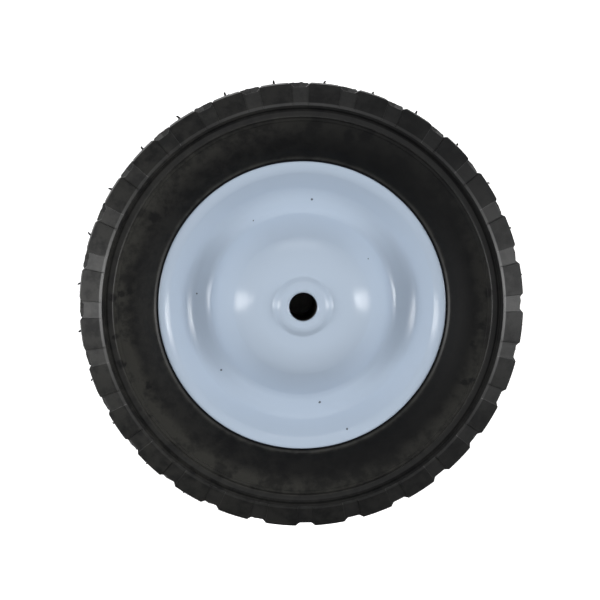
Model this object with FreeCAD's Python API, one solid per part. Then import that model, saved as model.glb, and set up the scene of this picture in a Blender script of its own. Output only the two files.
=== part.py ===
import FreeCAD, Part
import math
import os

# An 8 in x 1.75 in steel wheel with a plain bore: two pressed discs welded back to back
# in a flat ring, a tube between their bosses, and a lugged rubber tyre in their channel.
# The origin is the wheel's centre and +Z runs along the bore, out of the front face.
# Lengths are in millimetres and angles in degrees.

# Standard sizes
wheel_diameter = 203.2
tyre_width = 44.45
hub_length = 41.28
axle_diameter = 12.7
bore_clearance = 0.05

# Hub: a boss on each disc and the tube between them
sleeve_wall = 2.6
boss_land = 4.35
boss_edge_bend = 4.0
boss_height = 2.6
boss_side_run = 2.85
boss_foot_bend = 1.6
hole_edge = 1.1

# Pressed discs, from the rolled edge to the dome, whose creases are shares of its run and height
sheet = 1.2
rim_share = 0.6506
rim_height = 12.9
rim_lip_bend = 1.3
rim_lip_depth = 2.5
crest_width = 4.2
crest_bend = 6.5
flange_run = 10.3
flange_foot_bend = 8.0
weld_ring_width = 8.75
dome_foot_bend = 5.0
cone_run_share = 0.612
cone_fall_share = 0.303
crown_run_share = 0.4137
crown_fall_share = 0.024
crown_bend_share = 0.6667

# Tyre section, from the rim to the shoulder; the shares are of its height above the rim
seat_clearance = 0.12
lip_gap = 0.15
root_half_width = 3.0
bead_width = 1.3
bead_rise = 0.9
sidewall_run_share = 0.2085
sidewall_fall = 1.9
sidewall_bend_share = 0.4225
ridge_width = 1.0
ridge_height = 0.4
ridge_drop = 0.6
ring_groove_width = 3.3
ring_groove_depth = 1.9
ring_groove_inner_wall = 0.8
ring_groove_outer_wall = 0.6
rib_width = 1.0
shoulder_run_share = 0.279
shoulder_fall = 5.2
crown_edge_run = 7.0
crown_edge_drop = 0.8

# Tread: one pitch is an hourglass block and the groove beside it, with a diamond island;
# the shares are of the pitch's length round the tread
pitch_count = 28
first_block_angle = 7.1
groove_depth = 2.3
groove_floor_share = 0.1185
groove_draft = 2.7
waist_widening_share = 0.158
waist_length_share = 0.184
island_share = 0.1975
island_draft = 1.3
shoulder_recess_angle = 4.5
shoulder_recess_depth = 0.5
shoulder_recess_setback = 0.4

# Vent nibs
nib_height = 1.9
nib_half_width = 0.55
nib_tip_half_width = 0.25

# Drawing rules: a tighter bend is drawn as its chord, and one under the least as a corner
smallest_arc = 2.0
least_bend = 0.5
cutter_overshoot = 2.0

# Worked out
tread_radius = wheel_diameter / 2
tyre_half_width = tyre_width / 2
bore_radius = axle_diameter / 2 + bore_clearance
hub_half = hub_length / 2
boss_radius = bore_radius + boss_land
boss_foot_radius = boss_radius + boss_side_run
boss_foot_height = hub_half - boss_height
rim_radius = tread_radius * rim_share
crest_radius = rim_radius - crest_width
flange_foot_radius = crest_radius - flange_run
dome_foot_radius = flange_foot_radius - weld_ring_width
dome_run = dome_foot_radius - boss_foot_radius
dome_height = boss_foot_height - sheet
section_height = tread_radius - rim_radius
floor_radius = tread_radius - groove_depth
shoulder_radius = tread_radius - crown_edge_drop
shoulder_run = section_height * shoulder_run_share
rib_outer_radius = shoulder_radius - shoulder_run
shoulder_height = tyre_half_width - shoulder_fall
pitch_angle = 360.0 / pitch_count
pitch_length = 2 * math.pi * tread_radius / pitch_count
waist_half_length = pitch_length * waist_length_share

centre = FreeCAD.Vector(0, 0, 0)
wheel_axis = FreeCAD.Vector(0, 0, 1)
turn_over_axis = FreeCAD.Vector(1, 0, 0)


def rounded_face(corners):
    """A face in the XZ plane round (radius, height, bend) corners, each rounded by its bend."""
    points = [FreeCAD.Vector(radius, 0, height) for radius, height, bend in corners]
    bends = [bend for radius, height, bend in corners]
    joints = []
    for index, corner in enumerate(points):
        back = (points[index - 1] - corner).normalize()
        onward = (points[(index + 1) % len(points)] - corner).normalize()
        half_angle = back.getAngle(onward) / 2
        reach = bends[index] / math.tan(half_angle)
        inward = (back + onward).normalize()
        middle = corner + inward * (bends[index] / math.sin(half_angle) - bends[index])
        joints.append((corner + back * reach, middle, corner + onward * reach))
    edges = []
    for index, (first, middle, last) in enumerate(joints):
        edges.append(Part.LineSegment(joints[index - 1][2], first).toShape())
        if bends[index] >= smallest_arc:
            edges.append(Part.Arc(first, middle, last).toShape())
        elif bends[index] > 0:
            edges.append(Part.LineSegment(first, last).toShape())
    return Part.Face(Part.Wire(edges))


def turned(corners):
    """The solid of revolution of a section about the wheel's axis."""
    return rounded_face(corners).revolve(centre, wheel_axis, 360)


def turned_over(shape):
    """A copy of a shape for the wheel's other side."""
    copy = shape.copy()
    copy.rotate(centre, turn_over_axis, 180)
    return copy


def back_of_sheet(corners, thickness):
    """The sheet's other side: every line of the outline moved down by the thickness."""
    normals = []
    for (r1, z1, bend1), (r2, z2, bend2) in zip(corners, corners[1:]):
        length = math.hypot(r2 - r1, z2 - z1)
        normals.append(((z2 - z1) / length, -(r2 - r1) / length))
    back = []
    for index, (radius, height, bend) in enumerate(corners):
        before = normals[max(index - 1, 0)]
        after = normals[min(index, len(normals) - 1)]
        share = thickness / (1 + before[0] * after[0] + before[1] * after[1])
        hollow = before[0] * after[1] - before[1] * after[0] > 0
        new_bend = bend + thickness if hollow else bend - thickness
        if bend == 0 or new_bend < least_bend:
            new_bend = 0
        shift_r = (before[0] + after[0]) * share
        shift_z = (before[1] + after[1]) * share
        back.append((radius + shift_r, height + shift_z, new_bend))
    return back


def disc_outline():
    """The visible side of a disc from its hole to its rolled edge, as (radius, height, bend)."""
    crown_radius = boss_foot_radius + dome_run * crown_run_share
    crown_height = boss_foot_height - dome_height * crown_fall_share
    cone_radius = boss_foot_radius + dome_run * cone_run_share
    cone_height = boss_foot_height - dome_height * cone_fall_share
    return [
        (bore_radius, hub_half, 0),
        (boss_radius, hub_half, boss_edge_bend),
        (boss_foot_radius, boss_foot_height, boss_foot_bend),
        (crown_radius, crown_height, dome_run * crown_bend_share),
        (cone_radius, cone_height, 0),
        (dome_foot_radius, sheet, dome_foot_bend),
        (flange_foot_radius, sheet, flange_foot_bend),
        (crest_radius, rim_height, crest_bend),
        (rim_radius, rim_height, rim_lip_bend),
        (rim_radius, rim_height - rim_lip_depth, 0),
    ]


def disc():
    """A disc pressed from one sheet, its flat ring lying on the wheel's middle plane."""
    face = disc_outline()
    back = back_of_sheet(face, sheet)
    return turned([(bore_radius, hub_half, hole_edge)] + face[1:] + back[::-1])


def hub_sleeve():
    """The tube that keeps the two bosses apart and carries the axle."""
    half = hub_half - sheet
    outer = bore_radius + sleeve_wall
    return turned([
        (bore_radius, -half, 0),
        (outer, -half, 0),
        (outer, half, 0),
        (bore_radius, half, 0),
    ])


def channel_radius(half_width):
    """The radius at which the tyre's root, clear of both flange walls, has a half width."""
    wall = [(flange_foot_radius, sheet, 0), (crest_radius, rim_height, 0)]
    foot, crest = back_of_sheet(wall, sheet + seat_clearance)
    slope = (crest[1] - foot[1]) / (crest[0] - foot[0])
    return foot[0] + (half_width - foot[1]) / slope


def tyre_side():
    """The front half of the tyre's section, from the crown to the root."""
    rib_inner = rib_outer_radius - rib_width
    groove_outer = rib_inner - ring_groove_outer_wall
    groove_inner = groove_outer - ring_groove_width
    groove_floor = tyre_half_width - ring_groove_depth
    ridge_outer = groove_inner - ring_groove_inner_wall
    ridge_inner = ridge_outer - ridge_width
    ridge_top = tyre_half_width - ridge_drop
    ridge_foot = ridge_top - ridge_height
    sidewall_radius = rim_radius + section_height * sidewall_run_share
    sidewall_bend = section_height * sidewall_bend_share
    bead = rim_radius + seat_clearance
    under_lip = rim_height - rim_lip_depth - lip_gap
    return [
        (tread_radius, shoulder_height - crown_edge_run, 0),
        (shoulder_radius, shoulder_height, 0),
        (rib_outer_radius, tyre_half_width, 0),
        (rib_inner, tyre_half_width, 0),
        (groove_outer, groove_floor, 0),
        (groove_inner, groove_floor, 0),
        (ridge_outer, ridge_top, 0),
        (ridge_inner, ridge_top, 0),
        (ridge_inner - ridge_height, ridge_foot, 0),
        (sidewall_radius, ridge_foot - sidewall_fall, sidewall_bend),
        (bead + bead_width, rim_height + bead_rise, 0),
        (bead, rim_height, 0),
        (bead, under_lip, 0),
        (channel_radius(under_lip), under_lip, 0),
        (channel_radius(root_half_width), root_half_width, 0),
    ]


def smooth_tyre():
    """The tyre before its tread is cut, alike on both sides of the middle plane."""
    side = tyre_side()
    other_side = [(radius, -height, bend) for radius, height, bend in side[::-1]]
    return turned(side + other_side)


def drafted_block(outline_at, low, high):
    """A block on the X axis whose (across, along) outline changes evenly with the radius."""
    wires = []
    for radius in (low, high):
        points = [FreeCAD.Vector(radius, across, along) for across, along in outline_at(radius)]
        wires.append(Part.makePolygon(points + points[:1]))
    return Part.makeLoft(wires, True, True)


def diamond(half_diagonal):
    """A square on its corner, as (across, along) points."""
    return [(half_diagonal, 0), (0, half_diagonal), (-half_diagonal, 0), (0, -half_diagonal)]


def groove_outline(radius):
    """A groove across the whole tread that opens into a diamond at its middle."""
    above_floor = (radius - floor_radius) / groove_depth
    half_width = pitch_length * groove_floor_share + groove_draft * above_floor
    waist = half_width + pitch_length * waist_widening_share
    end = tyre_half_width + cutter_overshoot
    front = [(half_width, end), (half_width, waist_half_length), (waist, 0)]
    right = front + [(across, -along) for across, along in front[1::-1]]
    return right + [(-across, along) for across, along in right[::-1]]


def island_outline(radius):
    """A diamond that stands in the opening of the groove, wider at its foot."""
    below_top = (tread_radius - radius) / groove_depth
    return diamond(pitch_length * island_share + island_draft * below_top)


def nib_outline(radius):
    """A thin spike, narrowest at its tip."""
    above_crown = (radius - tread_radius) / nib_height
    return diamond(nib_half_width - (nib_half_width - nib_tip_half_width) * above_crown)


def tread_groove():
    """The groove between two blocks, less its island, down to the round floor."""
    low = floor_radius - groove_depth / 2
    high = tread_radius + groove_depth / 2
    floor = Part.makeCylinder(floor_radius, 2 * tyre_width, FreeCAD.Vector(0, 0, -tyre_width))
    island = drafted_block(island_outline, low, high)
    return drafted_block(groove_outline, low, high).cut([floor, island])


def shoulder_recess():
    """The shallow step between two lugs on the front shoulder, centred on the X axis."""
    length = math.hypot(shoulder_run, shoulder_fall)
    along = FreeCAD.Vector(shoulder_run / length, 0, -shoulder_fall / length)
    outward = FreeCAD.Vector(shoulder_fall / length, 0, shoulder_run / length)
    rib_edge = FreeCAD.Vector(rib_outer_radius, 0, tyre_half_width)
    inner = rib_edge + along * shoulder_recess_setback - outward * shoulder_recess_depth
    outer = inner + along * (length + cutter_overshoot)
    lift = outward * (shoulder_recess_depth + cutter_overshoot)
    corners = [inner, outer, outer + lift, inner + lift]
    section = Part.Face(Part.makePolygon(corners + corners[:1]))
    section.rotate(centre, wheel_axis, -shoulder_recess_angle / 2)
    return section.revolve(centre, wheel_axis, shoulder_recess_angle)


def round_the_tread(shapes, offset):
    """Copies of the shapes at every pitch, turned by an offset from the first block."""
    copies = []
    for pitch in range(pitch_count):
        for shape in shapes:
            copy = shape.copy()
            copy.rotate(centre, wheel_axis, first_block_angle + offset + pitch * pitch_angle)
            copies.append(copy)
    return copies


def tyre():
    """The moulded tyre: grooves and shoulder steps between its blocks, a nib on each block."""
    front_recess = shoulder_recess()
    cutters = [tread_groove(), front_recess, turned_over(front_recess)]
    lugged = smooth_tyre().cut(round_the_tread(cutters, pitch_angle / 2))
    nib = drafted_block(nib_outline, tread_radius - nib_half_width, tread_radius + nib_height)
    return lugged.fuse(round_the_tread([nib], 0))


def main():
    """Write each piece to its own file."""
    front_disc = disc()
    pieces = {
        "tyre": tyre(),
        "front_disc": front_disc,
        "rear_disc": turned_over(front_disc),
        "hub_sleeve": hub_sleeve(),
    }
    os.makedirs("parts", exist_ok=True)
    for name, piece in pieces.items():
        piece.exportStep("parts/" + name + ".step")


main()
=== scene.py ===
import math
import random

import bmesh
import bpy
from mathutils import Matrix, Vector


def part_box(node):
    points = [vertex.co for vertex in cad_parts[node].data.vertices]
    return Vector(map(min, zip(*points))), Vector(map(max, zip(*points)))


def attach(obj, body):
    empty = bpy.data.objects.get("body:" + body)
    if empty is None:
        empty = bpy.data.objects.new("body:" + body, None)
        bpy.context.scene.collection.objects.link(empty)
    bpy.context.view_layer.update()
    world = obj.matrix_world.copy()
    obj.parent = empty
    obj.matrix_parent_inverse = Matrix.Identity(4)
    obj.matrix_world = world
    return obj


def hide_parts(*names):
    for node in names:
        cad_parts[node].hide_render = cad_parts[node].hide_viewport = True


bl_info = {
    "name": "Steel wheel",
    "version": (1, 0, 0),
    "blender": (4, 5, 0),
    "location": "3D View > Sidebar > Steel wheel",
    "description": "Dresses a pressed steel wheel with a lugged rubber tyre, and its studio",
    "category": "Add Mesh",
}

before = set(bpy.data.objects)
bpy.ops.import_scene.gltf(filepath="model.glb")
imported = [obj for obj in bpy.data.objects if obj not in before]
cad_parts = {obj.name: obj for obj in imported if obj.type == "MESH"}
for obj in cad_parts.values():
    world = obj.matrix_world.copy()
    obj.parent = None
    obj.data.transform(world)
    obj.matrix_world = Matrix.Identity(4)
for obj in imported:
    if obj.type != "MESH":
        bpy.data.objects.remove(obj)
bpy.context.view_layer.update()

MM = 0.001
FULL_TURN = 2 * math.pi
WHEEL_AXIS = (0, 0, 1)
TYRE_LOW, TYRE_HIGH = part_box("tyre")
SLEEVE_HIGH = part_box("hub_sleeve")[1]
DISC_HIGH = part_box("front_disc")[1]


# Sizes and colours that can be changed in the panel

def length(name, description, millimetres):
    """A length property whose default is given in millimetres."""
    return bpy.props.FloatProperty(
        name=name, description=description, default=millimetres * MM,
        subtype="DISTANCE", unit="LENGTH", precision=5)


def colour(name, description, red, green, blue):
    """A colour property."""
    return bpy.props.FloatVectorProperty(
        name=name, description=description, default=(red, green, blue),
        subtype="COLOR", size=3, min=0, max=1)


def power(name, description, watts):
    """A lamp's power in watts."""
    return bpy.props.FloatProperty(
        name=name, description=description, default=watts, min=0, unit="POWER")


class DiscSizes(bpy.types.PropertyGroup):
    """Sizes of the two pressed discs and of the tube between them."""
    bore_radius: length("Bore radius", "Radius of the axle hole", 6.4)
    sheet: length("Sheet", "Thickness of the steel", 1.2)
    hole_edge: length("Hole edge", "Rounding of the hole's edge", 1.1)
    boss_radius: length("Boss radius", "Radius of the boss's flat top, to its corner", 10.75)
    boss_height: length("Boss height", "Height of the boss over the dome", 2.6)
    crown_radius: length("Crown radius", "Radius at which the dome turns down", 25.7)
    cone_radius: length("Cone radius", "Radius of the dome's crease", 31.5)
    dome_foot: length("Dome foot", "Radius at which the dome meets the flat ring", 42.85)
    flange_foot: length("Flange foot", "Radius at which the flange rises", 51.6)
    rim_radius: length("Rim radius", "Radius of the rolled edge", DISC_HIGH.x / MM)
    rim_height: length("Rim height", "Height of the rolled edge over the middle plane", 12.9)
    hub_half: length("Half hub", "Half of the length over both bosses", DISC_HIGH.z / MM)
    sleeve_radius: length("Tube radius", "Outer radius of the tube", SLEEVE_HIGH.x / MM)


class TyreSizes(bpy.types.PropertyGroup):
    """Sizes of the tyre's section and of its tread."""
    tread_radius: length("Tread radius", "Radius of the blocks' tops", 101.6)
    half_width: length("Half width", "Half of the tyre's width", TYRE_HIGH.z / MM)
    groove_depth: length("Tread depth", "Depth of the grooves between the blocks", 2.3)
    island: length("Island", "Half diagonal of the diamond in each groove", 4.5)
    recess_depth: length("Shoulder step", "Depth of the steps between the shoulder lugs", 0.5)
    nib_height: length("Nib height", "Height of the vent nibs over the tread", 1.9)
    flash_height: length("Flash height", "Height of the mould's flash, varied by its waves", 0.35)
    pitches: bpy.props.IntProperty(
        name="Pitches", description="Number of blocks round the tread", default=28, min=6)
    first_block: bpy.props.FloatProperty(
        name="First block", description="Angle of the first block from the X axis",
        default=math.radians(7.1), subtype="ANGLE", unit="ROTATION")


class FinishColours(bpy.types.PropertyGroup):
    """Colours of the paint, the rubber and the steel."""
    paint: colour("Paint", "Pale blue-grey paint on the discs", 0.445, 0.527, 0.635)
    paint_speck: colour("Specks", "Dark specks in the paint", 0.03, 0.03, 0.04)
    # Painted shade: a dark line where the rolled lip turns down towards the black tyre
    painted_edge_shade: colour(
        "Edge paint", "Dark line where the paint thins at the rolled edge", 0.002, 0.003, 0.014)
    rubber: colour("Rubber", "Clean black rubber", 0.0045, 0.0047, 0.005)
    dust: colour("Dust", "Grey dust on the rubber", 0.029, 0.0285, 0.0255)
    fleck: colour("Flecks", "Pale flecks on the rubber", 0.5, 0.5, 0.48)
    steel: colour("Steel", "Bare steel of the tube", 0.18, 0.17, 0.16)


class StageSettings(bpy.types.PropertyGroup):
    """The floor, the lamps and the camera."""
    floor: colour("Floor", "Pale floor", 0.9, 0.9, 0.9)
    side_power: power("Side panels", "Power of each tall side panel", 16.6)
    low_power: power("Low panels", "Power of each low side panel", 4.8)
    spark_power: power("Spark lamps", "Power of each narrow lamp that makes the highlights", 1.0)
    top_power: power("Top lamp", "Power of the lamp above the wheel's top", 2.2)
    ambient: bpy.props.FloatProperty(
        name="Ambient", description="Strength of the room's light", default=0.045, min=0)
    camera_left: length("Camera left", "How far the camera stands to the left", 48.5)
    camera_up: length("Camera up", "How far the camera stands towards the wheel's top", 75.0)
    camera_height: length("Camera height", "How far the camera stands over the wheel", 1000.0)


# Sections and meshes

MERGE_DISTANCE = 1e-6
PLANE_TOLERANCE = 1e-7


class Corner:
    """A corner of a section, with the radius of its bend."""

    def __init__(self, radius, height, bend=0.0):
        self.radius = radius
        self.height = height
        self.bend = bend

    def point(self):
        return Vector((self.radius, 0, self.height))


def reach_of(before, corner, after):
    """How far a corner's bend reaches along each of its two lines."""
    turn = (corner.point() - before.point()).angle(after.point() - corner.point())
    return corner.bend * math.tan(turn / 2)


def section_wire(mesh, corners, segments=8):
    """Draws a closed section in the XZ plane and rounds its corners."""
    verts = [mesh.verts.new(corner.point()) for corner in corners]
    count = len(verts)
    for index, vert in enumerate(verts):
        mesh.edges.new((vert, verts[(index + 1) % count]))
    for index, corner in enumerate(corners):
        if corner.bend > 0:
            reach = reach_of(corners[index - 1], corner, corners[(index + 1) % count])
            bmesh.ops.bevel(
                mesh, geom=[verts[index]], offset=reach, offset_type="OFFSET",
                segments=segments, profile=0.5, affect="VERTICES",
                clamp_overlap=False, material=-1)


def spun(mesh, steps):
    """Spins what is in the mesh once round the wheel's axis and closes it."""
    bmesh.ops.spin(
        mesh, geom=mesh.verts[:] + mesh.edges[:], cent=(0, 0, 0), axis=WHEEL_AXIS,
        dvec=(0, 0, 0), angle=FULL_TURN, steps=steps, use_merge=True,
        use_normal_flip=False, use_duplicate=False)
    bmesh.ops.remove_doubles(mesh, verts=mesh.verts[:], dist=MERGE_DISTANCE)
    bmesh.ops.recalc_face_normals(mesh, faces=mesh.faces[:])


def offset_section(corners, thickness):
    """The other side of a sheet: every line of its outline moved down by its thickness."""
    normals = []
    for first, second in zip(corners, corners[1:]):
        along = (second.point() - first.point()).normalized()
        normals.append(Vector((along.z, 0, -along.x)))
    back = []
    for index, corner in enumerate(corners):
        before = normals[max(index - 1, 0)]
        after = normals[min(index, len(normals) - 1)]
        moved = corner.point() + (before + after) * (thickness / (1 + before.dot(after)))
        hollow = before.x * after.z - before.z * after.x > 0
        bend = corner.bend + thickness if hollow else max(corner.bend - thickness, 0)
        back.append(Corner(moved.x, moved.z, bend if corner.bend > 0 else 0))
    return back


def piece_from(mesh, name, material, smooth_angle=35):
    """Makes a finished piece of a mesh, smooth shaded and with its material."""
    data = bpy.data.meshes.new(name)
    mesh.to_mesh(data)
    mesh.free()
    piece = bpy.data.objects.new(name, data)
    bpy.context.scene.collection.objects.link(piece)
    data.shade_smooth()
    data.set_sharp_from_angle(angle=math.radians(smooth_angle))
    data.materials.append(material)
    return piece


def keep(piece, node):
    """Hangs a piece on the wheel's root body and hides the CAD node that it stands for."""
    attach(piece, "root")
    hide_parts(node)


# Shader maths

class Shade:
    """A value or colour in a material, for sums written as Python expressions."""

    def __init__(self, finish, socket):
        self.finish = finish
        self.socket = socket

    def _math(self, operation, *values):
        return self.finish.node("ShaderNodeMath", {"operation": operation}, values)

    def __add__(self, other):
        return self._math("ADD", self, other)

    def __radd__(self, other):
        return self._math("ADD", other, self)

    def __sub__(self, other):
        return self._math("SUBTRACT", self, other)

    def __rsub__(self, other):
        return self._math("SUBTRACT", other, self)

    def __mul__(self, other):
        return self._math("MULTIPLY", self, other)

    def __rmul__(self, other):
        return self._math("MULTIPLY", other, self)

    def __truediv__(self, other):
        return self._math("DIVIDE", self, other)

    def power(self, exponent):
        return self._math("POWER", self, exponent)

    def at_most(self, other):
        return self._math("MINIMUM", self, other)

    def at_least(self, other):
        return self._math("MAXIMUM", self, other)

    def fraction(self):
        return self._math("FRACT", self)

    def size(self):
        return self._math("ABSOLUTE", self)

    def rise(self, low, high):
        """Nought below low, one above high, and smooth between."""
        return self.finish.node(
            "ShaderNodeMapRange", {"interpolation_type": "SMOOTHSTEP"},
            {"Value": self, "From Min": low, "From Max": high})

    def fall(self, low, high):
        """One below low, nought above high, and smooth between."""
        return 1 - self.rise(low, high)

    def band(self, low, high, soft):
        """One between low and high, with soft edges."""
        return self.rise(low - soft, low + soft) * self.fall(high - soft, high + soft)


class Finish:
    """A material and the nodes that paint it."""

    def __init__(self, name):
        self.material = bpy.data.materials.new(name)
        self.material.use_nodes = True
        self.nodes = self.material.node_tree.nodes
        self.links = self.material.node_tree.links
        self.shader = self.nodes["Principled BSDF"]
        self.place = self.node("ShaderNodeTexCoord", {}, (), "Object")

    def node(self, kind, settings, values, output=0):
        """Adds a node, sets it up, feeds its sockets and returns one of its outputs."""
        node = self.nodes.new(kind)
        for key, value in settings.items():
            setattr(node, key, value)
        pairs = values.items() if isinstance(values, dict) else enumerate(values)
        for key, value in pairs:
            if isinstance(value, Shade):
                self.links.new(value.socket, node.inputs[key])
            else:
                node.inputs[key].default_value = value
        return Shade(self, node.outputs[output])

    def noise(self, scale, detail=3.0, roughness=0.5):
        """Noise from nought to one, with a scale in bumps a metre."""
        return self.node(
            "ShaderNodeTexNoise", {"noise_dimensions": "3D"},
            {"Vector": self.place, "Scale": scale, "Detail": detail, "Roughness": roughness}, "Fac")

    def mix(self, share, first, second):
        """A colour between two others; a plain colour is given as three numbers."""
        def full(value):
            return value if isinstance(value, Shade) else (*value, 1.0)
        node = self.nodes.new("ShaderNodeMix")
        node.data_type = "RGBA"
        for index, value in ((0, share), (6, full(first)), (7, full(second))):
            if isinstance(value, Shade):
                self.links.new(value.socket, node.inputs[index])
            else:
                node.inputs[index].default_value = value
        return Shade(self, node.outputs[2])

    def axes(self):
        """The place's X, Y and Z as three values."""
        node = self.nodes.new("ShaderNodeSeparateXYZ")
        self.links.new(self.place.socket, node.inputs[0])
        return [Shade(self, output) for output in node.outputs]

    def angle(self, x, y):
        """The angle of a place round the wheel."""
        return self.node("ShaderNodeMath", {"operation": "ARCTAN2"}, (y, x))

    def distance_to(self, point):
        """The distance from a point."""
        return self.node(
            "ShaderNodeVectorMath", {"operation": "DISTANCE"}, (self.place, point), "Value")

    def bump(self, height, strength, distance):
        """A bump that feeds the shader's normal."""
        normal = self.node(
            "ShaderNodeBump", {},
            {"Strength": strength, "Distance": distance, "Height": height}, "Normal")
        self.paint(Normal=normal)

    def paint(self, **values):
        """Feeds the shader's sockets, with spaces written as underscores."""
        for key, value in values.items():
            socket = self.shader.inputs[key.replace("_", " ")]
            if isinstance(value, Shade):
                self.links.new(value.socket, socket)
            elif socket.type == "RGBA":
                socket.default_value = (*value, 1.0)
            else:
                socket.default_value = value


# Finishes

# Dark specks in the paint: place and radius in millimetres
PAINT_SPECKS = (
    (4.9, 48.2, 0.55),
    (-37.0, -30.5, 0.5),
    (8.6, -45.8, 0.55),
    (20.6, -57.0, 0.45),
    (-48.1, 4.9, 0.4),
    (30.5, 21.0, 0.3),
    (-22.0, 38.5, 0.3),
)
SPECK_RAGGED = 0.5 * MM
# Radii of the painted shade line where the rolled lip turns down towards the dark tyre
EDGE_SHADE_RADII = (65.6 * MM, 65.8 * MM)


def disc_finish(colours):
    """Pale blue-grey gloss paint with a few dark specks and a painted shade line at the rolled
    edge.
    """
    finish = Finish("disc_paint")
    x, y, z = finish.axes()
    radius = (x * x + y * y).power(0.5)
    cloud = finish.noise(scale=28.0)
    fine = finish.noise(scale=900.0, detail=2.0)
    body = finish.mix(cloud * 0.25, colours.paint, [channel * 0.93 for channel in colours.paint])
    specks = fine * 0
    for px, py, size in PAINT_SPECKS:
        beside = x - px * MM
        above = y - py * MM
        away = (beside * beside + above * above).power(0.5)
        ragged = away + (fine - 0.5) * SPECK_RAGGED
        specks = specks.at_least(ragged.fall(size * 0.7 * MM, size * 1.3 * MM))
    specks = specks * z.rise(-1 * MM, 0.0)
    # Painted shade: the rolled edge is darkened and loses its coat, standing for the lip's shade
    # beside the tyre
    edge = radius.rise(*EDGE_SHADE_RADII)
    body = finish.mix(specks * 0.85, body, colours.paint_speck)
    body = finish.mix(edge * 0.96, body, colours.painted_edge_shade)
    finish.paint(Base_Color=body, Roughness=0.45 + cloud * 0.06, Specular_IOR_Level=0.03,
                 Coat_Weight=(1 - edge) * 0.4, Coat_Roughness=0.17)
    finish.bump(finish.noise(scale=420.0, detail=2.0), strength=0.06, distance=0.4 * MM)
    return finish.material


# Dark rubbed marks on the sidewall: place and radius in millimetres
RUBBER_MARKS = (
    (-66.6, 40.4, 2.4), (-61.4, 43.4, 2.0), (-60.4, 47.2, 1.8), (-55.4, 39.7, 2.1),
    (-85.4, 4.2, 1.8), (-81.8, 6.2, 1.6), (-77.8, 7.6, 1.7), (-73.6, 8.8, 1.9), (-69.8, 9.9, 2.0),
    (-85.1, -13.4, 1.7), (-81.7, -25.0, 2.2), (-74.6, -6.5, 1.3), (-70.1, -35.6, 1.4),
    (56.5, 49.9, 3.6), (61.1, 41.0, 4.0), (68.0, 31.5, 3.2), (72.5, 22.0, 3.6), (75.6, 12.0, 3.6),
    (84.2, 6.4, 1.9), (77.9, -3.4, 2.0), (80.8, -8.8, 1.8), (76.6, -17.0, 1.6), (73.4, -34.4, 1.6),
    (76.4, -34.0, 1.6), (20.5, 77.0, 3.0), (28.5, 77.5, 3.4), (42.5, 66.5, 2.6),
)
# Pale flecks on the sidewall: place and radius in millimetres
RUBBER_FLECKS = (
    (39.9, 63.2, 0.7), (61.1, 36.6, 0.35), (-68.2, 2.2, 0.35), (-60.5, -18.4, 0.3),
    (80.0, -44.0, 0.3),
)
MARK_HEIGHT = 20.5 * MM
MARK_RAGGED = 7 * MM
FLECK_RAGGED = 0.6 * MM

# Radii between which a zone of the tyre comes in, or that bound a narrow ring on it
# Inside the lip gap's radii the rubber gets no dust: painted shade in the gap between tyre and disc
LIP_GAP_SHADE = (66.4 * MM, 66.8 * MM)
BEAD_RING = (66.7 * MM, 67.6 * MM)
RIM_DUST = (67.6 * MM, 68.6 * MM)
OUTER_BAND = (75.0 * MM, 83.5 * MM)
SIDEWALL_EDGE = (86.0 * MM, 87.0 * MM)
LOW_RIB_RING = (85.6 * MM, 88.4 * MM)
RIB_RING = (90.9 * MM, 92.2 * MM)
SHOULDER_EDGE = (91.0 * MM, 92.0 * MM)
RING_SOFT = 0.3 * MM
# Half of a shoulder step as a share of the pitch, and where its smoothness ends
STEP_SHARE = (0.165, 0.18)


def spots(finish, places, ragged, inner, outer):
    """One inside round spots on the sidewall and nought outside, by shares of their radii."""
    mask = ragged * 0
    for px, py, size in places:
        away = finish.distance_to((px * MM, py * MM, MARK_HEIGHT)) + ragged
        mask = mask.at_least(away.fall(size * inner * MM, size * outer * MM))
    return mask


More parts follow.
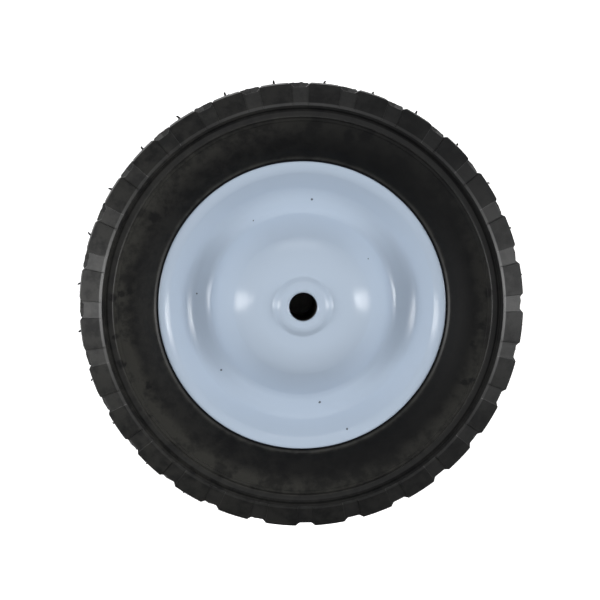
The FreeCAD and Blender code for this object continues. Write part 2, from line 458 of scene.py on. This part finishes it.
def rubber_finish(colours, sizes):
    """Black moulded rubber: dusty in zones, rubbed dark in places, smoother in the steps, and with
    painted shade beside the disc's lip.
    """
    finish = Finish("tyre_rubber")
    x, y, _ = finish.axes()
    radius = (x * x + y * y).power(0.5)
    low_side = (y / radius).fall(-0.75, 0.9)
    left_side = (x / radius).fall(-1.0, 0.6)
    blotch = finish.noise(scale=85.0, detail=4.0, roughness=0.62)
    smear = finish.noise(scale=260.0, roughness=0.6)
    grit = finish.noise(scale=1500.0, detail=2.0, roughness=0.6)
    sidewall = radius.fall(*SIDEWALL_EDGE)
    shoulder = radius.rise(*SHOULDER_EDGE)
    pitches = (finish.angle(x, y) - sizes.first_block) * (sizes.pitches / FULL_TURN)
    in_step = (pitches.fraction() - 0.5).size().fall(*STEP_SHARE) * shoulder
    near_rim = radius.fall(*RIM_DUST)
    outer_band = radius.rise(*OUTER_BAND)
    coverage = 0.1 + low_side * 0.5 + left_side * 0.4
    mottled = (blotch * 0.6 + smear * 0.4).rise(0.38, 0.6)
    on_band = outer_band * coverage * (0.4 + mottled * 0.85)
    dust = sidewall * (on_band + near_rim * (0.1 + mottled * 0.6))
    dust = dust + (1 - sidewall) * coverage * (0.05 + mottled * 0.25)
    dust = dust + mottled * (0.06 + left_side * 0.26)
    marks = spots(finish, RUBBER_MARKS, (smear - 0.5) * MARK_RAGGED, 0.4, 1.4)
    flecks = spots(finish, RUBBER_FLECKS, (grit - 0.5) * FLECK_RAGGED, 0.8, 1.2)
    # Near the disc's lip the dust is taken away, painting shade into the gap between the parts
    dust = dust * (1 - marks * 0.85) * (0.85 + grit * 0.3) * radius.rise(*LIP_GAP_SHADE)
    body = finish.mix(dust.at_least(0.0).at_most(1.0), colours.rubber, colours.dust)
    body = finish.mix(flecks * 0.8, body, colours.fleck)
    ridge = radius.band(*LOW_RIB_RING, RING_SOFT) + radius.band(*RIB_RING, RING_SOFT)
    bead = radius.band(*BEAD_RING, 0.25 * MM)
    gloss = shoulder * (0.1 + mottled * 0.1) + in_step * 0.27 + ridge * 0.9 + bead * 0.45
    finish.paint(Base_Color=body, Roughness=0.62 + dust * 0.2, Specular_IOR_Level=0.12,
                 Coat_Weight=gloss.at_most(1.0) * (1 - marks * 0.5), Coat_Roughness=0.42)
    finish.bump(grit * 0.6 + smear * 0.8, strength=0.2, distance=0.25 * MM)
    return finish.material


def steel_finish(colours):
    """Dull drawn steel."""
    finish = Finish("sleeve_steel")
    dull = finish.noise(scale=300.0)
    body = finish.mix(dull, colours.steel, [channel * 0.5 for channel in colours.steel])
    finish.paint(Base_Color=body, Metallic=0.9, Roughness=0.45 + dull * 0.2)
    return finish.material


# The pressed discs and the tube

BOSS_EDGE_BEND = 4.0 * MM
BOSS_SIDE = 2.85 * MM
BOSS_FOOT_BEND = 1.6 * MM
CROWN_FALL = 0.4 * MM
CROWN_BEND = 19.5 * MM
CONE_FALL = 5.1 * MM
CONE_BEND = 2.5 * MM
DOME_FOOT_BEND = 5.0 * MM
FLANGE_FOOT_BEND = 8.0 * MM
CREST_WIDTH = 4.2 * MM
CREST_BEND = 6.5 * MM
RIM_BEND = 1.3 * MM
RIM_LIP = 2.5 * MM
DISC_STEPS = 256
TUBE_EDGE_BEND = 0.3 * MM
TUBE_STEPS = 96


def disc_outline(sizes):
    """The visible side of a disc from its hole to its rolled edge."""
    boss_foot = sizes.hub_half - sizes.boss_height
    return [
        Corner(sizes.bore_radius, sizes.hub_half),
        Corner(sizes.boss_radius, sizes.hub_half, BOSS_EDGE_BEND),
        Corner(sizes.boss_radius + BOSS_SIDE, boss_foot, BOSS_FOOT_BEND),
        Corner(sizes.crown_radius, boss_foot - CROWN_FALL, CROWN_BEND),
        Corner(sizes.cone_radius, boss_foot - CONE_FALL, CONE_BEND),
        Corner(sizes.dome_foot, sizes.sheet, DOME_FOOT_BEND),
        Corner(sizes.flange_foot, sizes.sheet, FLANGE_FOOT_BEND),
        Corner(sizes.rim_radius - CREST_WIDTH, sizes.rim_height, CREST_BEND),
        Corner(sizes.rim_radius, sizes.rim_height, RIM_BEND),
        Corner(sizes.rim_radius, sizes.rim_height - RIM_LIP),
    ]


def disc_mesh(sizes):
    """One disc, pressed from a sheet."""
    mesh = bmesh.new()
    face = disc_outline(sizes)
    back = offset_section(face, sizes.sheet)
    hole = Corner(sizes.bore_radius, sizes.hub_half, sizes.hole_edge)
    section_wire(mesh, [hole] + face[1:] + back[::-1])
    spun(mesh, DISC_STEPS)
    return mesh


class WHEEL_OT_discs(bpy.types.Operator):
    """Build the front and rear discs"""
    bl_idname = "wheel.discs"
    bl_label = "Pressed discs"

    def execute(self, context):
        scene = context.scene
        paint = disc_finish(scene.finish_colours)
        for node, turn in (("front_disc", 0.0), ("rear_disc", math.pi)):
            mesh = disc_mesh(scene.disc_sizes)
            bmesh.ops.rotate(
                mesh, cent=(0, 0, 0), matrix=Matrix.Rotation(turn, 3, "X"), verts=mesh.verts[:])
            keep(piece_from(mesh, node + "_pressing", paint), node)
        return {"FINISHED"}


class WHEEL_OT_sleeve(bpy.types.Operator):
    """Build the tube between the bosses"""
    bl_idname = "wheel.sleeve"
    bl_label = "Hub tube"

    def execute(self, context):
        sizes = context.scene.disc_sizes
        half = sizes.hub_half - sizes.sheet
        mesh = bmesh.new()
        section_wire(mesh, [
            Corner(sizes.bore_radius, -half),
            Corner(sizes.sleeve_radius, -half, TUBE_EDGE_BEND),
            Corner(sizes.sleeve_radius, half, TUBE_EDGE_BEND),
            Corner(sizes.bore_radius, half),
        ], segments=2)
        spun(mesh, TUBE_STEPS)
        steel = steel_finish(context.scene.finish_colours)
        keep(piece_from(mesh, "hub_tube", steel), "hub_sleeve")
        return {"FINISHED"}


# The tyre, modelled one pitch at a time on a straight strip: X round the tread, Y along the axle
# and Z outwards. The finished pitch is bent round the wheel and repeated.

DISC_GAP = 0.12 * MM
LIP_CLEARANCE = 0.15 * MM
ROOT_HALF = 3.0 * MM
CROWN_HALF = 10.0 * MM
SHOULDER_HALF = 17.0 * MM
SHOULDER_FALL = 0.8 * MM
SIDE_FALL = 10.7 * MM
# The ribs and the channel between them, inwards from the shoulder's foot: run, drop below the
# tyre's side, and bend, in millimetres
SIDE_PROFILE = (
    (0.0, 0.0, 0.2),
    (1.0, 0.0, 0.3),
    (1.6, 1.9, 0.4),
    (4.9, 1.9, 0.5),
    (5.7, 0.6, 0.3),
    (6.7, 0.6, 0.2),
    (7.1, 1.0, 0.2),
)
SIDEWALL_RUN, SIDEWALL_DROP, SIDEWALL_BEND = 7.4 * MM, 2.9 * MM, 15.0 * MM
BEAD_RUN, BEAD_RISE, BEAD_BEND = 1.3 * MM, 0.9 * MM, 0.5 * MM
BEAD_EDGE_BEND = 0.3 * MM
WIDE_BEND = 1.0 * MM

# The tread's cuts
GROOVE_HALF = 2.7 * MM
GROOVE_FLARE = 2.7 * MM
DIAMOND_REACH = 3.6 * MM
DIAMOND_HALF = 4.2 * MM
CUT_CLEARANCE = 3.0 * MM
CUT_PAST_SIDE = 2.0 * MM
ISLAND_ROOT = 0.6 * MM
ISLAND_FLARE = 1.3 * MM
STEP_HALF_ANGLE = math.radians(2.25)
STEP_START = 0.4 * MM
STEP_LENGTH = 14.0 * MM
STEP_CLEARANCE = 2.5 * MM
LUG_BEND = 0.18 * MM
LUG_EDGE_ANGLE = math.radians(20)
STRIPS = 8
PITCH_MERGE = 3e-6

# The mould's flash and nibs
FLASH_SEED = 7
FLASH_STEPS = 40
FLASH_HALF = 0.14 * MM
FLASH_ROOT = 1.0 * MM
FLASH_WAVES = 14
FLASH_MEAN, FLASH_SWING = 0.35, 1.6
# Where the flash drops into the groove beside an island, and the slopes of the two sides
FLASH_GAP_OUT = 9.2 * MM
ISLAND_SLOPE, BLOCK_SLOPE = 2.3 / 1.2, 2.3 / 2.5
NIB_SEED = 11
NIB_FOOT, NIB_TIP = 0.62 * MM, 0.38 * MM
NIB_ROOT = 0.5 * MM
NIB_TURN = 0.006
NIB_LEAN = 0.9 * MM
NIB_LEAN_OUT = (0.3 * MM, 1.8 * MM)


def channel_wall(discs, height):
    """The radius of the tyre's root at a height, just clear of the flange that holds it."""
    flange = [
        Corner(discs.flange_foot, discs.sheet),
        Corner(discs.rim_radius - CREST_WIDTH, discs.rim_height),
    ]
    foot, top = offset_section(flange, discs.sheet + DISC_GAP)
    slope = (top.radius - foot.radius) / (top.height - foot.height)
    return foot.radius + (height - foot.height) * slope


def tyre_side(sizes, discs):
    """The front half of the tyre's section from the crown to the root."""
    rim_radius, rim_height = discs.rim_radius, discs.rim_height
    top = sizes.half_width
    shoulder_foot = sizes.tread_radius - SIDE_FALL
    bead = rim_radius + DISC_GAP
    under_lip = rim_height - RIM_LIP - LIP_CLEARANCE
    ribs = [
        Corner(shoulder_foot - run * MM, top - drop * MM, bend * MM)
        for run, drop, bend in SIDE_PROFILE]
    return [
        Corner(sizes.tread_radius, CROWN_HALF),
        Corner(sizes.tread_radius - SHOULDER_FALL, SHOULDER_HALF),
        *ribs,
        Corner(rim_radius + SIDEWALL_RUN, top - SIDEWALL_DROP, SIDEWALL_BEND),
        Corner(bead + BEAD_RUN, rim_height + BEAD_RISE, BEAD_BEND),
        Corner(bead, rim_height, BEAD_EDGE_BEND),
        Corner(bead, under_lip),
        Corner(channel_wall(discs, under_lip), under_lip),
        Corner(channel_wall(discs, ROOT_HALF), ROOT_HALF),
    ]


def strip_point(corner, across=0.0):
    """Where a section's corner lies on the straight strip."""
    return Vector((across, corner.height, corner.radius))


def plain_strip(sizes, discs):
    """One pitch of the smooth tyre on the straight strip, as a closed solid."""
    pitch = FULL_TURN * sizes.tread_radius / sizes.pitches
    side = tyre_side(sizes, discs)
    corners = side + [Corner(c.radius, -c.height, c.bend) for c in side[::-1]]
    mesh = bmesh.new()
    verts = [mesh.verts.new(strip_point(corner, -pitch / 2)) for corner in corners]
    face = mesh.faces.new(verts)
    grown = bmesh.ops.extrude_face_region(mesh, geom=[face])["geom"]
    moved = [item for item in grown if isinstance(item, bmesh.types.BMVert)]
    bmesh.ops.translate(mesh, verts=moved, vec=(pitch, 0, 0))
    count = len(corners)
    for index, corner in enumerate(corners):
        if corner.bend > 0:
            reach = reach_of(corners[index - 1], corner, corners[(index + 1) % count])
            long_edges = [
                edge for edge in mesh.edges
                if all((strip_point(corner, vert.co.x) - vert.co).length < PLANE_TOLERANCE
                       for vert in edge.verts)]
            bmesh.ops.bevel(
                mesh, geom=long_edges, offset=reach, offset_type="OFFSET",
                segments=8 if corner.bend > WIDE_BEND else 3, profile=0.5, affect="EDGES",
                clamp_overlap=False, material=-1)
    bmesh.ops.recalc_face_normals(mesh, faces=mesh.faces[:])
    return mesh


def drafted(mesh, low_outline, high_outline, low, high):
    """A closed block between two outlines of (across, along) points at two heights."""
    loops = []
    for outline, level in ((low_outline, low), (high_outline, high)):
        verts = [mesh.verts.new((across, along, level)) for across, along in outline]
        loops.append(mesh.faces.new(verts))
    edges = [edge for face in loops for edge in face.edges]
    bmesh.ops.bridge_loops(mesh, edges=edges)
    bmesh.ops.recalc_face_normals(mesh, faces=mesh.faces[:])


def groove_outline(half_width, waist, waist_length, end):
    """A groove across the whole tread, with a wide diamond opening at its middle."""
    front = [(half_width, end), (half_width, waist_length), (half_width + waist, 0)]
    right = front + [(across, -along) for across, along in front[1::-1]]
    return right + [(-across, along) for across, along in right[::-1]]


def solid_object(mesh, name):
    """A scratch object that holds a mesh for a cut."""
    data = bpy.data.meshes.new(name)
    mesh.to_mesh(data)
    mesh.free()
    item = bpy.data.objects.new(name, data)
    bpy.context.scene.collection.objects.link(item)
    return item


def cut(body, tool, operation):
    """Cuts or joins a tool with a body and removes the tool."""
    modifier = body.modifiers.new("cut", "BOOLEAN")
    modifier.object = tool
    modifier.operation = operation
    modifier.solver = "EXACT"
    bpy.context.view_layer.update()
    evaluated = body.evaluated_get(bpy.context.evaluated_depsgraph_get())
    shaped = bpy.data.meshes.new_from_object(evaluated)
    if not shaped.polygons:
        raise RuntimeError("a tread cut left nothing of the tyre")
    body.modifiers.clear()
    body.data = shaped
    bpy.data.objects.remove(tool)


def groove_tool(sizes):
    """The groove between two blocks."""
    floor = sizes.tread_radius - sizes.groove_depth
    draft = GROOVE_FLARE / sizes.groove_depth
    mesh = bmesh.new()
    end = sizes.half_width + CUT_PAST_SIDE
    low = groove_outline(GROOVE_HALF, DIAMOND_REACH, DIAMOND_HALF, end)
    widened = GROOVE_HALF + draft * (sizes.groove_depth + CUT_CLEARANCE)
    high = groove_outline(widened, DIAMOND_REACH, DIAMOND_HALF, end)
    drafted(mesh, low, high, floor, sizes.tread_radius + CUT_CLEARANCE)
    return solid_object(mesh, "groove_tool")


def island_tool(sizes):
    """The diamond that stands in the groove, rooted under its floor."""
    draft = ISLAND_FLARE / sizes.groove_depth
    depth = sizes.groove_depth + ISLAND_ROOT
    mesh = bmesh.new()
    bmesh.ops.create_cone(
        mesh, cap_ends=True, segments=4, radius1=sizes.island + draft * depth, radius2=sizes.island,
        depth=depth, matrix=Matrix.Translation((0, 0, sizes.tread_radius - depth / 2)))
    return solid_object(mesh, "island_tool")


def recess_tool(sizes, side):
    """The shallow step between two lugs on one shoulder."""
    half = sizes.tread_radius * STEP_HALF_ANGLE
    edge = Vector((0, sizes.half_width, sizes.tread_radius - SIDE_FALL))
    corner = Vector((0, SHOULDER_HALF, sizes.tread_radius - SHOULDER_FALL))
    along = (corner - edge).normalized()
    outward = Vector((0, along.z, -along.y))
    inner = edge + along * STEP_START - outward * sizes.recess_depth
    points = [inner, inner + along * STEP_LENGTH]
    points += [point + outward * STEP_CLEARANCE for point in points[::-1]]
    mesh = bmesh.new()
    verts = [mesh.verts.new((-half, point.y * side, point.z)) for point in points]
    face = mesh.faces.new(verts)
    grown = bmesh.ops.extrude_face_region(mesh, geom=[face])["geom"]
    moved = [item for item in grown if isinstance(item, bmesh.types.BMVert)]
    bmesh.ops.translate(mesh, verts=moved, vec=(2 * half, 0, 0))
    bmesh.ops.recalc_face_normals(mesh, faces=mesh.faces[:])
    return solid_object(mesh, "recess_tool")


def soften_lugs(mesh, sizes, pitch):
    """Rounds the edges of the blocks, the islands and the steps."""
    shoulder_foot = sizes.tread_radius - SIDE_FALL + 0.05 * MM
    sharp = []
    for edge in mesh.edges:
        inside = all(abs(vert.co.x) < pitch / 2 - MERGE_DISTANCE for vert in edge.verts)
        ends = sum(abs(abs(vert.co.x) - pitch / 2) < MERGE_DISTANCE for vert in edge.verts)
        on_tread = all(vert.co.z > shoulder_foot for vert in edge.verts)
        if on_tread and (inside or ends == 1) and len(edge.link_faces) == 2:
            if edge.calc_face_angle(0) > LUG_EDGE_ANGLE:
                sharp.append(edge)
    bmesh.ops.bevel(
        mesh, geom=sharp, offset=LUG_BEND, offset_type="OFFSET", segments=2, profile=0.5,
        affect="EDGES", clamp_overlap=True, material=-1)


def cut_in_strips(mesh, pitch):
    """Cuts the strip across so that it can be bent round."""
    for index in range(1, STRIPS):
        bmesh.ops.bisect_plane(
            mesh, geom=mesh.verts[:] + mesh.edges[:] + mesh.faces[:], dist=PLANE_TOLERANCE,
            plane_co=(pitch * (index / STRIPS - 0.5), 0, 0), plane_no=(1, 0, 0),
            clear_inner=False, clear_outer=False)


def bend_round(mesh, sizes, middle):
    """Bends the straight strip round the wheel, with its middle at an angle."""
    for vert in mesh.verts:
        angle = middle + vert.co.x / sizes.tread_radius
        radius = vert.co.z
        vert.co = Vector((radius * math.cos(angle), radius * math.sin(angle), vert.co.y))


def join(mesh, part):
    """Adds a finished mesh to another and frees it."""
    bmesh.ops.recalc_face_normals(part, faces=part.faces[:])
    holder = bpy.data.meshes.new("part")
    part.to_mesh(holder)
    part.free()
    mesh.from_mesh(holder)
    bpy.data.meshes.remove(holder)


def add_flash(mesh, sizes):
    """The thin ragged fin that the mould's joint leaves round the middle of the tread."""
    chance = random.Random(FLASH_SEED)
    root = sizes.tread_radius - sizes.groove_depth - FLASH_ROOT
    fin = bmesh.new()
    section_wire(
        fin, [Corner(root, -FLASH_HALF), Corner(sizes.tread_radius, 0), Corner(root, FLASH_HALF)])
    spun(fin, sizes.pitches * FLASH_STEPS)
    waves = [(chance.randint(40, 400), chance.uniform(0, FULL_TURN), chance.uniform(0.3, 1.0))
             for _ in range(FLASH_WAVES)]
    weight = sum(share for _, _, share in waves)
    pitch_angle = FULL_TURN / sizes.pitches
    gap_start = sizes.island - 0.1 * MM
    for vert in fin.verts:
        if vert.co.xy.length < root + FLASH_ROOT / 2:
            continue
        angle = math.atan2(vert.co.y, vert.co.x)
        wave = sum(share * math.sin(count * angle + phase) for count, phase, share in waves)
        from_groove = abs((angle - sizes.first_block) / pitch_angle % 1 - 0.5) * pitch_angle
        across = from_groove * sizes.tread_radius
        stands = max(0.0, FLASH_MEAN + FLASH_SWING * wave / weight)
        height = sizes.tread_radius + sizes.flash_height * stands
        if gap_start < across < FLASH_GAP_OUT:
            drop = min((across - gap_start) * ISLAND_SLOPE, (FLASH_GAP_OUT - across) * BLOCK_SLOPE)
            height = sizes.tread_radius - min(drop, sizes.groove_depth + 0.1 * MM)
        vert.co = Vector((height * math.cos(angle), height * math.sin(angle), vert.co.z))
    join(mesh, fin)


def add_nibs(mesh, sizes):
    """The thin rubber nibs that the mould's vents leave, one on each block, bent a little."""
    chance = random.Random(NIB_SEED)
    for index in range(sizes.pitches):
        angle = sizes.first_block + index * FULL_TURN / sizes.pitches
        angle += chance.uniform(-NIB_TURN, NIB_TURN)
        height = sizes.nib_height * chance.uniform(0.75, 1.0)
        lean = Vector((chance.uniform(-NIB_LEAN, NIB_LEAN), chance.uniform(*NIB_LEAN_OUT), 0))
        nib = bmesh.new()
        bmesh.ops.create_cone(
            nib, cap_ends=True, segments=8, radius1=NIB_FOOT, radius2=NIB_TIP,
            depth=height + NIB_ROOT, matrix=Matrix.Translation((0, 0, (height - NIB_ROOT) / 2)))
        for share in (0.3, 0.55, 0.8):
            bmesh.ops.bisect_plane(
                nib, geom=nib.verts[:] + nib.edges[:] + nib.faces[:], dist=PLANE_TOLERANCE,
                plane_co=(0, 0, height * share), plane_no=(0, 0, 1),
                clear_inner=False, clear_outer=False)
        for vert in nib.verts:
            up = max(vert.co.z, 0) / sizes.nib_height
            bent = vert.co + lean * up * up
            radius = sizes.tread_radius + bent.z
            turn = angle + bent.x / sizes.tread_radius
            vert.co = Vector((radius * math.cos(turn), radius * math.sin(turn), bent.y))
        join(mesh, nib)


class WHEEL_OT_tyre(bpy.types.Operator):
    """Build the tyre with its tread, flash and vent nibs"""
    bl_idname = "wheel.tyre"
    bl_label = "Tyre"

    def execute(self, context):
        scene = context.scene
        sizes = scene.tyre_sizes
        discs = scene.disc_sizes
        pitch = FULL_TURN * sizes.tread_radius / sizes.pitches
        strip = solid_object(plain_strip(sizes, discs), "strip")
        cut(strip, groove_tool(sizes), "DIFFERENCE")
        cut(strip, recess_tool(sizes, 1), "DIFFERENCE")
        cut(strip, recess_tool(sizes, -1), "DIFFERENCE")
        cut(strip, island_tool(sizes), "UNION")
        mesh = bmesh.new()
        mesh.from_mesh(strip.data)
        bpy.data.objects.remove(strip)
        bmesh.ops.remove_doubles(mesh, verts=mesh.verts[:], dist=MERGE_DISTANCE)
        ends = [
            face for face in mesh.faces if abs(face.normal.x) > 0.999
            and all(abs(abs(vert.co.x) - pitch / 2) < MERGE_DISTANCE for vert in face.verts)]
        bmesh.ops.delete(mesh, geom=ends, context="FACES")
        soften_lugs(mesh, sizes, pitch)
        cut_in_strips(mesh, pitch)
        bend_round(mesh, sizes, sizes.first_block + math.pi / sizes.pitches)
        copies = sizes.pitches - 1
        bmesh.ops.spin(
            mesh, geom=mesh.verts[:] + mesh.edges[:] + mesh.faces[:], cent=(0, 0, 0),
            axis=WHEEL_AXIS, dvec=(0, 0, 0), angle=copies * FULL_TURN / sizes.pitches,
            steps=copies, use_merge=False, use_normal_flip=False, use_duplicate=True)
        bmesh.ops.remove_doubles(mesh, verts=mesh.verts[:], dist=PITCH_MERGE)
        bmesh.ops.recalc_face_normals(mesh, faces=mesh.faces[:])
        add_flash(mesh, sizes)
        add_nibs(mesh, sizes)
        bmesh.ops.recalc_face_normals(mesh, faces=mesh.faces[:])
        rubber = rubber_finish(scene.finish_colours, sizes)
        piece = piece_from(mesh, "moulded_tyre", rubber, 28)
        weighted = piece.modifiers.new("weighted_normals", "WEIGHTED_NORMAL")
        weighted.keep_sharp = True
        keep(piece, "tyre")
        return {"FINISHED"}


# The studio

WHITE_RAYS = ("Is Camera Ray", "Is Glossy Ray", "Is Transmission Ray")
# Radii inside which the floor has no glow: a painted shadow under the wheel, which keeps the bore
# dark
PAINTED_SHADOW_RADII = (0.085, 0.105)
FLOOR_GLOW = (0.8, 0.8, 0.8)
FLOOR_HALF = 3.0

# Places and sizes of the lamps in metres
SIDES = {"left": -1, "right": 1}
PANEL_DISTANCE = 1.2
PANEL_HEIGHT, PANEL_SIZE = 0.925, (1.0, 0.35)
LOW_PANEL_HEIGHT, LOW_PANEL_SIZE = 0.25, (1.0, 0.3)
SPARK_PLACES = {"left": (-0.66, 0, 0.98), "right": (0.82, 0, 0.88)}
SPARK_SIZE = (0.3, 0.04)
TOP_PLACE, TOP_SIZE = (0, 0.98, 0.69), (0.8, 0.4)

# The camera: its aim, its sensor and the width that the picture takes in at the wheel's middle
CAMERA_AIM = (-0.5 * MM, 1.65 * MM, 0)
SENSOR_WIDTH = 36.0
PICTURE_WIDTH = 277.264 * MM


def floor_finish(settings):
    """A pale floor that keeps the wheel's shadow and shows white to the camera, with a painted
    shadow under the wheel.
    """
    finish = Finish("studio_floor")
    x, y, _ = finish.axes()
    radius = (x * x + y * y).power(0.5)
    seen = sum(finish.node("ShaderNodeLightPath", {}, (), ray) for ray in WHITE_RAYS)
    # The glow is left out under the wheel as a painted shadow
    glow = finish.mix(seen * radius.rise(*PAINTED_SHADOW_RADII), (0, 0, 0), FLOOR_GLOW)
    finish.paint(Base_Color=settings.floor, Roughness=0.9, Specular_IOR_Level=0.0,
                 Emission_Color=glow, Emission_Strength=1.0)
    return finish.material


def lamp(name, power, place, size, aim=(0, 0, 0)):
    """A soft lamp that points at a place."""
    data = bpy.data.lights.new(name, "AREA")
    data.energy = power
    data.shape = "RECTANGLE"
    data.size, data.size_y = size
    item = bpy.data.objects.new(name, data)
    item.location = place
    item.rotation_euler = (Vector(aim) - Vector(place)).to_track_quat("-Z", "Z").to_euler()
    bpy.context.scene.collection.objects.link(item)


class WHEEL_OT_stage(bpy.types.Operator):
    """Set the floor, the lamps, the room's light and the camera"""
    bl_idname = "wheel.stage"
    bl_label = "Stage"

    def execute(self, context):
        scene = context.scene
        settings = scene.stage_settings
        mesh = bmesh.new()
        bmesh.ops.create_grid(
            mesh, x_segments=8, y_segments=8, size=FLOOR_HALF,
            matrix=Matrix.Translation((0, 0, TYRE_LOW.z)))
        data = bpy.data.meshes.new("floor")
        mesh.to_mesh(data)
        mesh.free()
        floor = bpy.data.objects.new("floor", data)
        scene.collection.objects.link(floor)
        data.materials.append(floor_finish(settings))
        for name, side in SIDES.items():
            for panel, watts, height, size in (
                    ("panel_", settings.side_power, PANEL_HEIGHT, PANEL_SIZE),
                    ("low_panel_", settings.low_power, LOW_PANEL_HEIGHT, LOW_PANEL_SIZE)):
                place = (side * PANEL_DISTANCE, 0, height)
                lamp(panel + name, watts, place, size, aim=(0, 0, height))
            lamp("spark_" + name, settings.spark_power, SPARK_PLACES[name], SPARK_SIZE)
        lamp("lamp_top", settings.top_power, TOP_PLACE, TOP_SIZE)
        world = bpy.data.worlds.new("room")
        scene.world = world
        world.use_nodes = True
        room = world.node_tree.nodes["Background"]
        room.inputs["Color"].default_value = (1, 1, 1, 1)
        room.inputs["Strength"].default_value = settings.ambient
        scene.view_settings.view_transform = "Standard"
        camera_data = bpy.data.cameras.new("camera")
        camera = bpy.data.objects.new("camera", camera_data)
        place = Vector((-settings.camera_left, settings.camera_up, settings.camera_height))
        aim = Vector(CAMERA_AIM)
        camera.location = place
        toward = (aim - place).normalized()
        right = toward.cross(Vector((0, 1, 0))).normalized()
        up = right.cross(toward)
        camera.rotation_euler = Matrix((right, up, -toward)).transposed().to_euler()
        camera_data.sensor_width = SENSOR_WIDTH
        camera_data.lens = SENSOR_WIDTH * (aim - place).length / PICTURE_WIDTH
        scene.collection.objects.link(camera)
        scene.camera = camera
        return {"FINISHED"}


class WHEEL_PT_panel(bpy.types.Panel):
    """The wheel's sizes, colours and pieces"""
    bl_label = "Steel wheel"
    bl_idname = "WHEEL_PT_panel"
    bl_space_type = "VIEW_3D"
    bl_region_type = "UI"
    bl_category = "Steel wheel"

    def draw(self, context):
        layout = self.layout
        for attribute, operators in PANEL_ROWS:
            group = getattr(context.scene, attribute)
            box = layout.box()
            for name in group.__annotations__:
                box.prop(group, name)
            for operator in operators:
                box.operator(operator)


PANEL_ROWS = (
    ("disc_sizes", ("wheel.discs", "wheel.sleeve")),
    ("tyre_sizes", ("wheel.tyre",)),
    ("finish_colours", ()),
    ("stage_settings", ("wheel.stage",)),
)
GROUPS = {
    "disc_sizes": DiscSizes,
    "tyre_sizes": TyreSizes,
    "finish_colours": FinishColours,
    "stage_settings": StageSettings,
}
CLASSES = (
    DiscSizes, TyreSizes, FinishColours, StageSettings, WHEEL_OT_discs, WHEEL_OT_sleeve,
    WHEEL_OT_tyre, WHEEL_OT_stage, WHEEL_PT_panel)


def register():
    """Registers the classes and hangs their groups on the scene."""
    for item in CLASSES:
        bpy.utils.register_class(item)
    for name, group in GROUPS.items():
        setattr(bpy.types.Scene, name, bpy.props.PointerProperty(type=group))


def unregister():
    """Takes away what register added."""
    for name in GROUPS:
        delattr(bpy.types.Scene, name)
    for item in reversed(CLASSES):
        bpy.utils.unregister_class(item)


def main():
    """Builds the wheel and its studio."""
    register()
    bpy.ops.wheel.discs()
    bpy.ops.wheel.sleeve()
    bpy.ops.wheel.tyre()
    bpy.ops.wheel.stage()


if __name__ == "__main__":
    main()
